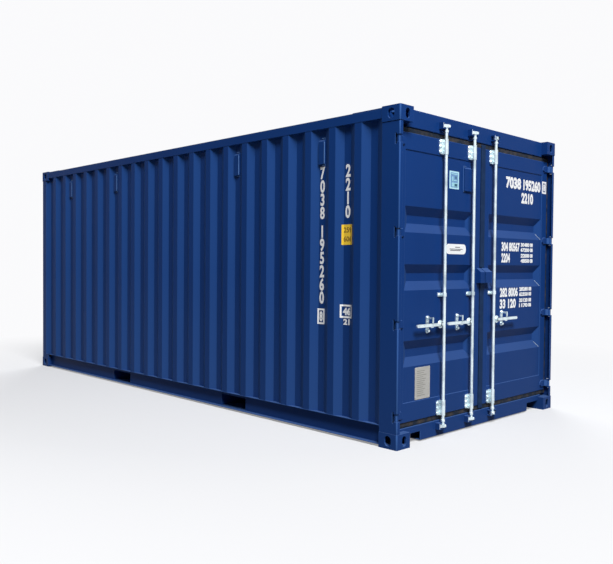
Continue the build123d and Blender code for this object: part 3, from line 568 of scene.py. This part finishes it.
def bend_over_trough(mesh_data):
    # Folds what reaches past the flat of a trough out along its slopes
    for side in (-1, 1):
        everything = mesh_data.verts[:] + mesh_data.edges[:] + mesh_data.faces[:]
        fold = (side * trough_flat / 2, 0, 0)
        bmesh.ops.bisect_plane(mesh_data, geom=everything, plane_co=fold, plane_no=(1, 0, 0))
    slant = math.hypot(trough_depth, trough_slope)
    on_fold = 0.001
    for vertex in mesh_data.verts:
        past = abs(vertex.co.x) - trough_flat / 2
        if past > on_fold:
            side = math.copysign(1, vertex.co.x)
            lift = vertex.co.z
            vertex.co.x = side * (trough_flat / 2 + (past * trough_slope - lift * trough_depth) / slant)
            vertex.co.z = (past * trough_depth + lift * trough_slope) / slant


def finish_marking(name, mesh_data, column, material):
    bend_over_trough(mesh_data)
    place = on_face((trough_face, column, 0), (0, -1, 0), (0, 0, 1))
    finish_piece(name, mesh_data, place, material, "frame")


def add_column(mesh_data, across, top_row, text):
    figure_size = (52, 105)
    figure_step = 109.5
    for index, figure in enumerate(text):
        place = (across, top_row - index * figure_step)
        add_numbers(mesh_data, figure, place, figure_size, stroke=0.036, fitted="0")


def side_numbers():
    first = bmesh.new()
    add_column(first, 0, 2148, "7038")
    add_column(first, 0, 1665, "195260")
    add_boxed_numbers(first, "8", (-5, 961), (36, 84), box=(78, 130), band=15, stroke=0.05)
    finish_marking("side_numbers_1", first, first_column, white_paint)
    second = bmesh.new()
    add_column(second, 7, 2146, "2210")
    add_boxed_numbers(second, "46", (7, 1017), (88, 64), box=(140, 108), band=15, stroke=0.05)
    add_numbers(second, "21", (4, 932), (70, 48), stroke=0.05)
    finish_marking("side_numbers_2", second, second_column, white_paint)


def height_sticker():
    across, middle = 9, 1633
    sticker = bmesh.new()
    rounded_plate(sticker, (across, middle), (127, 163), corner=6, thickness=paint_film)
    finish_marking("height_sticker", sticker, second_column, yellow_vinyl)
    figures = bmesh.new()
    for row, text in ((38, "259"), (-34, "606")):
        add_numbers(figures, text, (across, middle + row), (88, 44), stroke=0.03, base=paint_film)
    finish_marking("height_sticker_figures", figures, second_column, faded_ink)


side_numbers()
height_sticker()

# Markings of the doors: on the face of a door's frame, or of its panel
door_face = door_end + 60
panel_face = door_end + 66


def door_code():
    code = bmesh.new()
    for text, centre, size in (
        ("7038", (548, 2155), (270, 106)), ("195260", (890, 2155), (330, 106)),
        ("2210", (803, 2029), (222, 101)),
    ):
        add_numbers(code, text, centre, size, stroke=0.05)
    finish_piece("door_code", code, facing_doors(panel_face), white_paint, "right_door")
    boxed = bmesh.new()
    add_boxed_numbers(boxed, "8", (1118, 2157), (34, 72), box=(84, 118), band=17, stroke=0.06)
    finish_piece("door_code_box", boxed, facing_doors(door_face), white_paint, "right_door")


def door_weights():
    # In each of four rows, a tall number and at its right two lines of small ones
    tall, small = 86, 37
    line_offset = 24
    value_place, value_width = 426, 162
    unit_place, unit_width = 545, 54
    weights = bmesh.new()
    for start, row, text, width, upper, lower in (
        (350, 1568, "304 80567", 325, "30480", "67200"), (350, 1466, "2204", 150, "2200", "4850"),
        (334, 1153, "282 8006", 318, "28280", "62350"), (334, 1048, "33 120", 285, "33120", "1170"),
    ):
        add_numbers(weights, text, (start + width / 2, row), (width, tall), stroke=0.045)
        for value, line in ((upper, row + line_offset), (lower, row - line_offset)):
            add_numbers(weights, value, (start + value_place, line), (value_width, small), stroke=0.055)
            add_numbers(weights, "08", (start + unit_place, line), (unit_width, small), stroke=0.055)
    finish_piece("door_weights", weights, facing_doors(panel_face), white_paint, "right_door")


def door_sticker():
    # A light rim round a slate field with a pale foot, as plates by place, size and corner
    across, middle = -413, 2098
    layers = (
        ("door_sticker", rim_vinyl, (((0, 0), (138, 146), 5),)),
        ("door_sticker_field", slate_vinyl, (((0, 0), (104, 122), 3),)),
        ("door_sticker_panel", pale_vinyl, (
            ((6, -38), (84, 34), 3), ((2, 50), (88, 9), 3), ((-22, 8), (20, 40), 3), ((16, -2), (40, 9), 3),
        )),
        ("door_sticker_marks", teal_vinyl, (((24, -40), (40, 22), 3), ((24, 22), (18, 22), 5))),
    )
    for layer, (name, material, plates) in enumerate(layers):
        sticker = bmesh.new()
        for (right, up), size, corner in plates:
            place = (across + right, middle + up)
            rounded_plate(sticker, place, size, corner, paint_film, base=layer * paint_film, steps=3)
        finish_piece(name, sticker, facing_doors(panel_face), material, "left_door")


def door_label():
    # A white oval with plain lines
    label = bmesh.new()
    rounded_plate(label, (-372, 1529), (290, 84), corner=36, thickness=paint_film, steps=6)
    finish_piece("door_label", label, facing_doors(panel_face), white_paint, "left_door")
    lines = bmesh.new()
    for centre, width in (((-352, 1545), 70), ((-372, 1529), 190), ((-382, 1518), 150)):
        rounded_plate(lines, centre, (width, 6), corner=2, thickness=paint_film, base=paint_film, steps=2)
    finish_piece("door_label_lines", lines, facing_doors(panel_face), dark_ink_and_shade, "left_door")


def data_plate():
    # Bare metal with a raised rim, a rivet in each corner and rows of stamped lines
    across, middle = -819, 463
    wide, tall = 198, 254
    face = 2.2
    rim_size = (wide - 6, tall - 6)
    plate = bmesh.new()
    rounded_plate(plate, (across, middle), (wide, tall), corner=5, thickness=face)
    rounded_frame(plate, (across, middle), rim_size, band=7, thickness=0.8, base=face)
    for right in (-84, 84):
        for up in (-114, 114):
            rivet_place = (across + right, middle + up)
            rounded_plate(plate, rivet_place, (9, 9), corner=4.4, thickness=2, base=face, steps=3)
    finish_piece("data_plate", plate, facing_doors(panel_face), plate_steel, "left_door")
    lines = bmesh.new()
    line_count, line_pitch = 13, 16
    line_start, top_line = across - 75, middle + 96
    for line in range(line_count):
        length = random.uniform(80, 150)
        centre = (line_start + length / 2, top_line - line * line_pitch)
        rounded_plate(lines, centre, (length, 5), corner=1.5, thickness=0.4, base=face, steps=2)
    finish_piece("data_plate_lines", lines, facing_doors(panel_face), worn_ink, "left_door")


door_code()
door_weights()
door_sticker()
door_label()
data_plate()

# Lock gear: each rod's number, its place across, and the side on which its handle lies
door_rods = {"left_door": ((1, -585, -1), (2, -170, -1)), "right_door": ((3, 170, 1),)}
lock_rods = [rod for rods in door_rods.values() for rod in rods]
rod_line = door_end + 30
hub_face = door_end + 36
bolt_face = door_end + 9.6
cam_heights = (92, 2512)
guide_heights = (238, 2348)
middle_guide_height = 1157
handle_height = 920
retainer_heights = (974, 873)
hub_offset = 50
retainer_offset = 185
guide_bolt_offset = 39
middle_bolt_offset = 34
guide_bolt_pitch = 40
foot_plate = 8


def lock_bolts(body, rods):
    # Bolts of the rod guides, and the round heads that hold the handle retainers
    guide_bolts, middle_bolts, heads = bmesh.new(), bmesh.new(), bmesh.new()
    for _, rod_place, side in rods:
        for guide_height in guide_heights:
            for step in (-guide_bolt_pitch, 0, guide_bolt_pitch):
                bolt_place = (rod_place - guide_bolt_offset, guide_height + step)
                bolt_head(guide_bolts, bolt_place, foot_plate, across=21, height=10)
        bolt_place = (rod_place - middle_bolt_offset, middle_guide_height)
        bolt_head(middle_bolts, bolt_place, foot_plate, across=20, height=10)
        retainer_place = rod_place + side * retainer_offset
        for head_height, (radius, height) in zip(retainer_heights, ((17, 13), (15, 20))):
            knob(heads, (retainer_place, head_height), foot_plate, radius, height)
    for kind, mesh_data, face in (
        ("guide_bolts", guide_bolts, door_face), ("middle_bolts", middle_bolts, panel_face),
        ("retainer_heads", heads, panel_face),
    ):
        finish_piece(f"{body}_{kind}", mesh_data, facing_doors(face), zinc, body)


def rod_hub(number, rod_place, side):
    # The disc on the front of the hub, and a dark ring of painted shade round the handle's bolt
    hub_place = (rod_place + side * hub_offset, handle_height)
    disc = bmesh.new()
    turned(disc, hub_place, ((33, 0), (33, 8), (30, 11)), sides=24)
    finish_piece(
        f"rod_{number}_hub_disc", disc, facing_doors(hub_face), zinc, f"rod_{number}",
    )
    washer = bmesh.new()
    turned(washer, hub_place, ((18, 0), (18, 0.6)), sides=24)
    finish_piece(
        f"rod_{number}_washer", washer, facing_doors(bolt_face), dark_ink_and_shade, f"rod_{number}",
    )


def rod_ends(number, rod_place, side):
    # The heel of each cam, turned away from the handle, and a collar beside each keeper
    heels = bmesh.new()
    heel_size = 20
    for cam_height, reach in zip(cam_heights, (29, 34)):
        base = cam_height - heel_size / 2
        rounded_plate(heels, (reach / 2, 0), (reach, heel_size), corner=9, thickness=heel_size, base=base)
    place = on_face((rod_place, rod_line, 0), (-0.6 * side, -0.8, 0), (0.8, -0.6 * side, 0))
    finish_piece(f"rod_{number}_heels", heels, place, zinc, f"rod_{number}")
    collars = bmesh.new()
    for collar_base in (122, 2460):
        profile = [(radius, collar_base + up) for radius, up in ((15, 0), (18, 3), (18, 19), (15, 22))]
        turned(collars, (0, 0), profile, sides=20)
    place = on_face((rod_place, rod_line, 0), (1, 0, 0), (0, 1, 0))
    finish_piece(f"rod_{number}_collars", collars, place, zinc, f"rod_{number}")


for body, rods in door_rods.items():
    lock_bolts(body, rods)
for rod in lock_rods:
    rod_hub(*rod)
    rod_ends(*rod)

# Beads of weld, most of them in a lighter blue as painted highlights, and strips of painted highlight along
# edges
weld_radius = 3.5
highlight_radius = 3


def keeper_highlights():
    # A painted highlight down the front of each keeper, to the left of its rod: at its upright, or at its
    # open side
    upright_offset, open_offset = 56, 34
    keeper_front = door_end + 18
    edges = bmesh.new()
    for _, rod_place, side in lock_rods:
        edge_place = rod_place - (upright_offset if side < 0 else open_offset)
        for cam_height in cam_heights:
            ends = [(edge_place, keeper_front, cam_height + reach) for reach in (-22, 22)]
            bead(edges, *ends, highlight_radius)
    finish_piece("keeper_highlights", edges, Matrix(), pale_highlight_paint, "frame")


def side_vent_beads():
    # Beads in a lighter blue as painted highlights: down the front of each hood, and along its upper and
    # lower edge
    hood_front, hood_foot = 18, 2
    beads = bmesh.new()
    for side in (-1, 1):
        for trough in (2, 6, 14, 18):
            near, far = trough_place(trough) - 33, trough_place(trough) + 10
            for out, places in (
                (hood_front, ((near, 2222), (near, 2402))),
                (hood_foot, ((near, 2434), (far, 2434))), (hood_foot, ((near, 2212), (far, 2212))),
            ):
                ends = [(-side * (trough_face - out), across, up) for across, up in places]
                bead(beads, *ends, weld_radius)
    finish_piece("side_vent_beads", beads, Matrix(), vent_bead_highlight, "frame")


def hinge_beads(beads, side):
    # Round the blade of each hinge
    first_hinge, hinge_pitch = 244, 698
    for hinge in range(4):
        middle = first_hinge + hinge * hinge_pitch
        for places in (
            ((1089, -16), (1089, 16)), ((1103, 29), (1160, 29)), ((1103, -29), (1160, -29)),
        ):
            ends = [(side * across, door_face - 1, middle + up) for across, up in places]
            bead(beads, *ends, weld_radius)


def door_beads():
    # Beads in a lighter blue as painted highlights, round the hinges of both doors, and round the vent of
    # the left one
    left, right = bmesh.new(), bmesh.new()
    for places in (
        ((-281, 2014), (-281, 2226)), ((-281, 2226), (-238, 2226)), ((-281, 2014), (-246, 2014)),
    ):
        ends = [(across, panel_face - 2, up) for across, up in places]
        bead(left, *ends, weld_radius)
    for body, beads, side in (("left_door", left, -1), ("right_door", right, 1)):
        hinge_beads(beads, side)
        finish_piece(f"{body}_beads", beads, Matrix(), bead_highlight, body)


def right_door_hip_highlights():
    # A painted highlight along the folds at the lower right corners of the right door's hollows
    edges = bmesh.new()
    for middle in (707, 1299, 1747):
        inner = (1012, panel_face + 27.5, middle - 44)
        outer = (1066, panel_face - 0.5, middle - 98)
        bead(edges, inner, outer, highlight_radius)
    finish_piece("right_door_hip_highlights", edges, Matrix(), pale_highlight_paint, "right_door")


def roof_seam():
    # The weld between the roof sheet and the front header
    along, height, reach, radius = 2979, 2577, 1057, 3
    seam = bmesh.new()
    bead(seam, (-reach, along, height), (reach, along, height), radius)
    finish_piece("roof_seam", seam, Matrix(), frame_paint, "frame")


keeper_highlights()
side_vent_beads()
door_beads()
right_door_hip_highlights()
roof_seam()


# The rubber lip of the doors, and the screws of the floor

def right_door_lip():
    # It covers the gap between the doors, in two lengths clear of the lock box
    across, width = 17, 66
    lip = bmesh.new()
    for low, high in ((150, 1240), (1378, 2438)):
        centre, size = (across, (low + high) / 2), (width, high - low)
        rounded_plate(lip, centre, size, corner=3, thickness=3, steps=2)
    finish_piece(
        "right_door_lip", lip, facing_doors(door_face), lip_rubber, "right_door",
    )


def floor_screws():
    # Rows across the floor boards, at about the pitch of the members below
    floor_top = 168
    first_row, row_pitch, rows = -2700, 284, 20
    screw_pitch, screws_in_row = 170, 14
    screws = bmesh.new()
    for row in range(rows):
        for index in range(screws_in_row):
            place = ((index - (screws_in_row - 1) / 2) * screw_pitch, first_row + row * row_pitch)
            rounded_plate(screws, place, (11, 11), corner=5.4, thickness=0.5, steps=2)
    place = on_face((0, 0, floor_top), (1, 0, 0), (0, 1, 0))
    finish_piece("floor_screws", screws, place, zinc, "frame")


right_door_lip()
floor_screws()

# Camera, fitted to the corners of the container in the photo
camera_place = Vector((-5.434, -6.342, 1.393))
camera_heading = math.radians(44.496)
camera_pitch = math.radians(-1.419)
camera_roll = math.radians(0.475)
camera_lens = 42.01
camera = bpy.data.objects.new("camera", bpy.data.cameras.new("camera"))
bpy.context.scene.collection.objects.link(camera)
aim = Matrix.Rotation(-camera_heading, 4, "Z") @ Matrix.Rotation(math.radians(90) + camera_pitch, 4, "X")
camera.matrix_world = Matrix.Translation(camera_place) @ aim @ Matrix.Rotation(camera_roll, 4, "Z")
camera.data.lens = camera_lens
camera.data.sensor_width = 36
camera.data.clip_end = 200
bpy.context.scene.camera = camera


def studio_light(name, direction, size, level):
    # A soft light from a direction: a white face turned to it renders at the level given
    distance = 24
    container_middle = Vector((0, 0, 1.3))
    light = bpy.data.lights.new(name, "AREA")
    light.shape = "RECTANGLE"
    light.size, light.size_y = size
    light.energy = level * math.pi ** 2 * distance ** 2
    holder = bpy.data.objects.new(name, light)
    bpy.context.scene.collection.objects.link(holder)
    holder.location = container_middle + Vector(direction).normalized() * distance
    holder.rotation_euler = (container_middle - holder.location).to_track_quat("-Z", "Y").to_euler()


studio_light("door_end_light", direction=(-0.55, -1.00, 1.20), size=(10, 7), level=1.38)
studio_light("rear_light", direction=(0.75, 0.70, 0.80), size=(14, 9), level=0.55)


def seen_by_eye_or_mirror(tree):
    # 1 for the rays that show a backdrop, 0 for those that only carry light
    path = add_node(tree, "LightPath")
    total = path.outputs["Is Camera Ray"]
    for ray in ("Is Glossy Ray", "Is Transmission Ray"):
        total = calculate(tree, "MAXIMUM", total, path.outputs[ray])
    return total


def studio_world():
    world_level = 0.05
    world = bpy.data.worlds.new("studio")
    world.use_nodes = True
    bpy.context.scene.world = world
    sky = world.node_tree
    background = sky.nodes["Background"]
    feed(sky, backdrop_white, background.inputs["Color"])
    feed(sky, spread(sky, seen_by_eye_or_mirror(sky), world_level, 1.0), background.inputs["Strength"])


def mix_shaders(tree, factor, first, second):
    blend = add_node(tree, "MixShader")
    for socket, value in zip(blend.inputs, (factor, first, second)):
        feed(tree, value, socket)
    return blend.outputs["Shader"]


def floor_paint(name):
    # Grey with the shadow near the object and white farther out, and it throws little light back
    shadow_reach = 7
    material, tree, lit = new_material(name)
    feed(tree, floor_grey, lit.inputs["Base Color"])
    lit.inputs["Roughness"].default_value = 0.9
    dim = add_node(tree, "BsdfDiffuse")
    feed(tree, floor_dim, dim.inputs["Color"])
    glow = add_node(tree, "Emission")
    feed(tree, backdrop_white, glow.inputs["Color"])
    nearness = add_node(tree, "TexGradient", gradient_type="SPHERICAL")
    shrink = (1 / shadow_reach, 1 / shadow_reach, 1)
    feed(tree, mapped_place(tree, Scale=shrink), nearness.inputs["Vector"])
    fade_out = spread(tree, nearness.outputs["Fac"], 1.0, 0.30, start=0.0, end=0.55)
    shown = mix_shaders(tree, fade_out, lit.outputs["BSDF"], glow.outputs["Emission"])
    whole = mix_shaders(tree, seen_by_eye_or_mirror(tree), dim.outputs["BSDF"], shown)
    feed(tree, whole, tree.nodes["Material Output"].inputs["Surface"])
    return material


def add_studio_floor():
    disc = bmesh.new()
    bmesh.ops.create_circle(disc, cap_ends=True, segments=96, radius=60)
    mesh = bpy.data.meshes.new("studio_floor")
    disc.to_mesh(mesh)
    disc.free()
    mesh.materials.append(floor_paint("studio_floor"))
    studio_floor = bpy.data.objects.new("studio_floor", mesh)
    bpy.context.scene.collection.objects.link(studio_floor)


studio_world()
add_studio_floor()
bpy.context.scene.view_settings.view_transform = "Standard"
